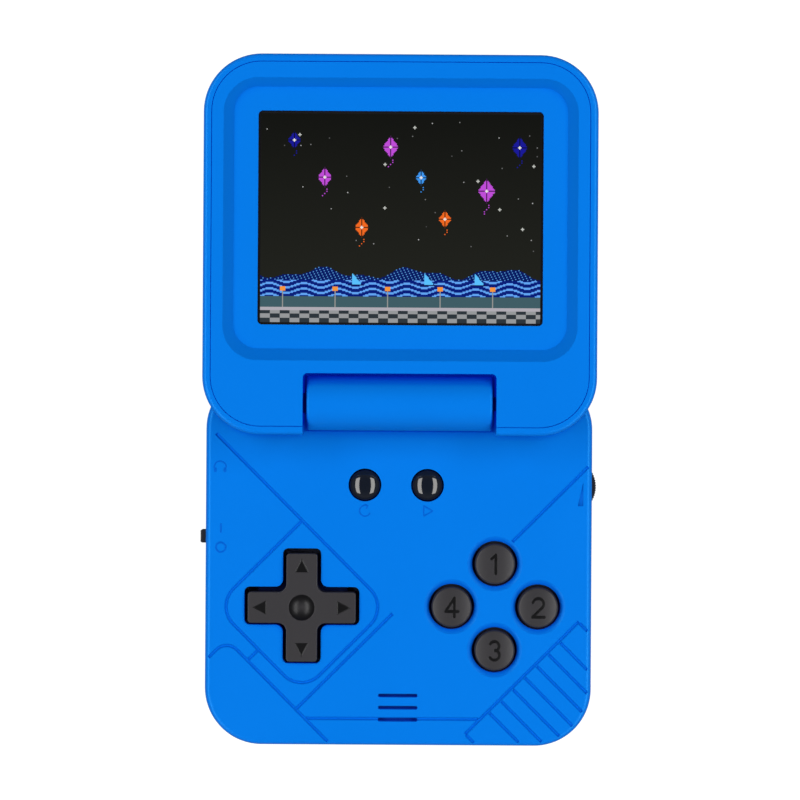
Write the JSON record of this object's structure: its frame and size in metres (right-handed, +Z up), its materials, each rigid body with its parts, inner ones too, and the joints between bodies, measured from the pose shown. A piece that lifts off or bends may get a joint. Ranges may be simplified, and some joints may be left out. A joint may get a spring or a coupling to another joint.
{
  "type": "clamshell handheld game console",
  "caption": "Pocket clamshell game console: screen lid on a barrel hinge over a base with a directional pad, round buttons, slide switch, volume wheel and headphone socket.",
  "frame": {"origin": "centre of the base's flat underside", "axes": "+X to the right of the person who plays, +Y from the base to the hinge and the lid, +Z up out of the face with the controls"},
  "size_m": [0.0882, 0.1504, 0.0269],
  "materials": {
    "blue_plastic": "fine satin moulded plastic",
    "charcoal_plastic": "satin moulded plastic",
    "black_gloss": "glossy moulded plastic",
    "slider_plastic": "satin moulded plastic",
    "screen_glass": "clear lens over the display",
    "display_panel": "display panel, lit",
    "foam_black": "foam gasket",
    "flex_film": "polyimide film",
    "silicone": "silicone rubber",
    "steel": "plated steel",
    "brass": "plated brass",
    "circuit_board": "glass-fibre board with solder mask",
    "speaker_metal": "pressed metal frame",
    "battery_cell": "foil-wrapped flat cell"
  },
  "bodies": {
    "base": {"base_front_shell": "blue_plastic", "base_rear_shell": "blue_plastic", "battery_door": "blue_plastic", "door_screw": "steel", "base_screws": "steel", "hinge_barrel": "blue_plastic", "barrel_screws": "steel", "hinge_sleeve": "steel", "hinge_cartridge": "steel", "action_membrane": "silicone", "menu_membrane": "silicone", "dpad_membrane": "silicone", "power_switch": "steel", "volume_pot": "steel", "headphone_jack": "black_gloss", "charge_port": "steel", "main_board": "circuit_board", "speaker": "speaker_metal", "battery": "battery_cell", "battery_contacts": "brass"},
    "lid": {"lid_rear_shell": "blue_plastic", "lid_front_bezel": "blue_plastic", "screen_lens": "screen_glass", "lcd_gasket": "foam_black", "lcd_panel": "display_panel", "display_flex": "flex_film", "hinge_cam_pin": "steel"},
    "dpad_pivot": {"dpad_pivot": "steel"},
    "dpad": {"dpad_cross": "charcoal_plastic"},
    "action_top": {"action_button_top": "charcoal_plastic"},
    "action_right": {"action_button_right": "charcoal_plastic"},
    "action_bottom": {"action_button_bottom": "charcoal_plastic"},
    "action_left": {"action_button_left": "charcoal_plastic"},
    "menu_left": {"menu_button_left": "black_gloss"},
    "menu_right": {"menu_button_right": "black_gloss"},
    "slider": {"power_slider": "slider_plastic"},
    "wheel": {"volume_wheel": "black_gloss"}
  },
  "joints": [
    {"name": "lid_hinge", "type": "hinge", "parent": "base", "child": "lid", "pos_m": [0, 0.0342, 0.021], "axis": [1, 0, 0], "range_deg": [0, 180], "deforming": ["display_flex"]},
    {"name": "dpad_tilt_x", "type": "hinge", "parent": "base", "child": "dpad_pivot", "pos_m": [-0.0212, -0.0104, 0.01135], "axis": [1, 0, 0], "range_deg": [-4, 4], "stiffness_Nm_per_rad": 0.05, "deforming": ["dpad_membrane"]},
    {"name": "dpad_tilt_y", "type": "hinge", "parent": "dpad_pivot", "child": "dpad", "pos_m": [-0.0212, -0.0104, 0.01135], "axis": [0, 1, 0], "range_deg": [-4, 4], "stiffness_Nm_per_rad": 0.05},
    {"name": "action_top_press", "type": "slide", "parent": "base", "child": "action_top", "axis": [0, 0, -1], "range_m": [0, 0.0012], "stiffness_N_per_m": 500, "deforming": ["action_membrane"]},
    {"name": "action_right_press", "type": "slide", "parent": "base", "child": "action_right", "axis": [0, 0, -1], "range_m": [0, 0.0012], "stiffness_N_per_m": 500},
    {"name": "action_bottom_press", "type": "slide", "parent": "base", "child": "action_bottom", "axis": [0, 0, -1], "range_m": [0, 0.0012], "stiffness_N_per_m": 500},
    {"name": "action_left_press", "type": "slide", "parent": "base", "child": "action_left", "axis": [0, 0, -1], "range_m": [0, 0.0012], "stiffness_N_per_m": 500},
    {"name": "menu_left_press", "type": "slide", "parent": "base", "child": "menu_left", "axis": [0, 0, -1], "range_m": [0, 0.0009], "stiffness_N_per_m": 500, "deforming": ["menu_membrane"]},
    {"name": "menu_right_press", "type": "slide", "parent": "base", "child": "menu_right", "axis": [0, 0, -1], "range_m": [0, 0.0009], "stiffness_N_per_m": 500},
    {"name": "power_slide", "type": "slide", "parent": "base", "child": "slider", "axis": [0, -1, 0], "range_m": [0, 0.002]},
    {"name": "volume_turn", "type": "hinge", "parent": "base", "child": "wheel", "pos_m": [0.03745, 0.0159, 0.0064], "axis": [0, 0, 1], "range_deg": [-135, 135]}
  ]
}
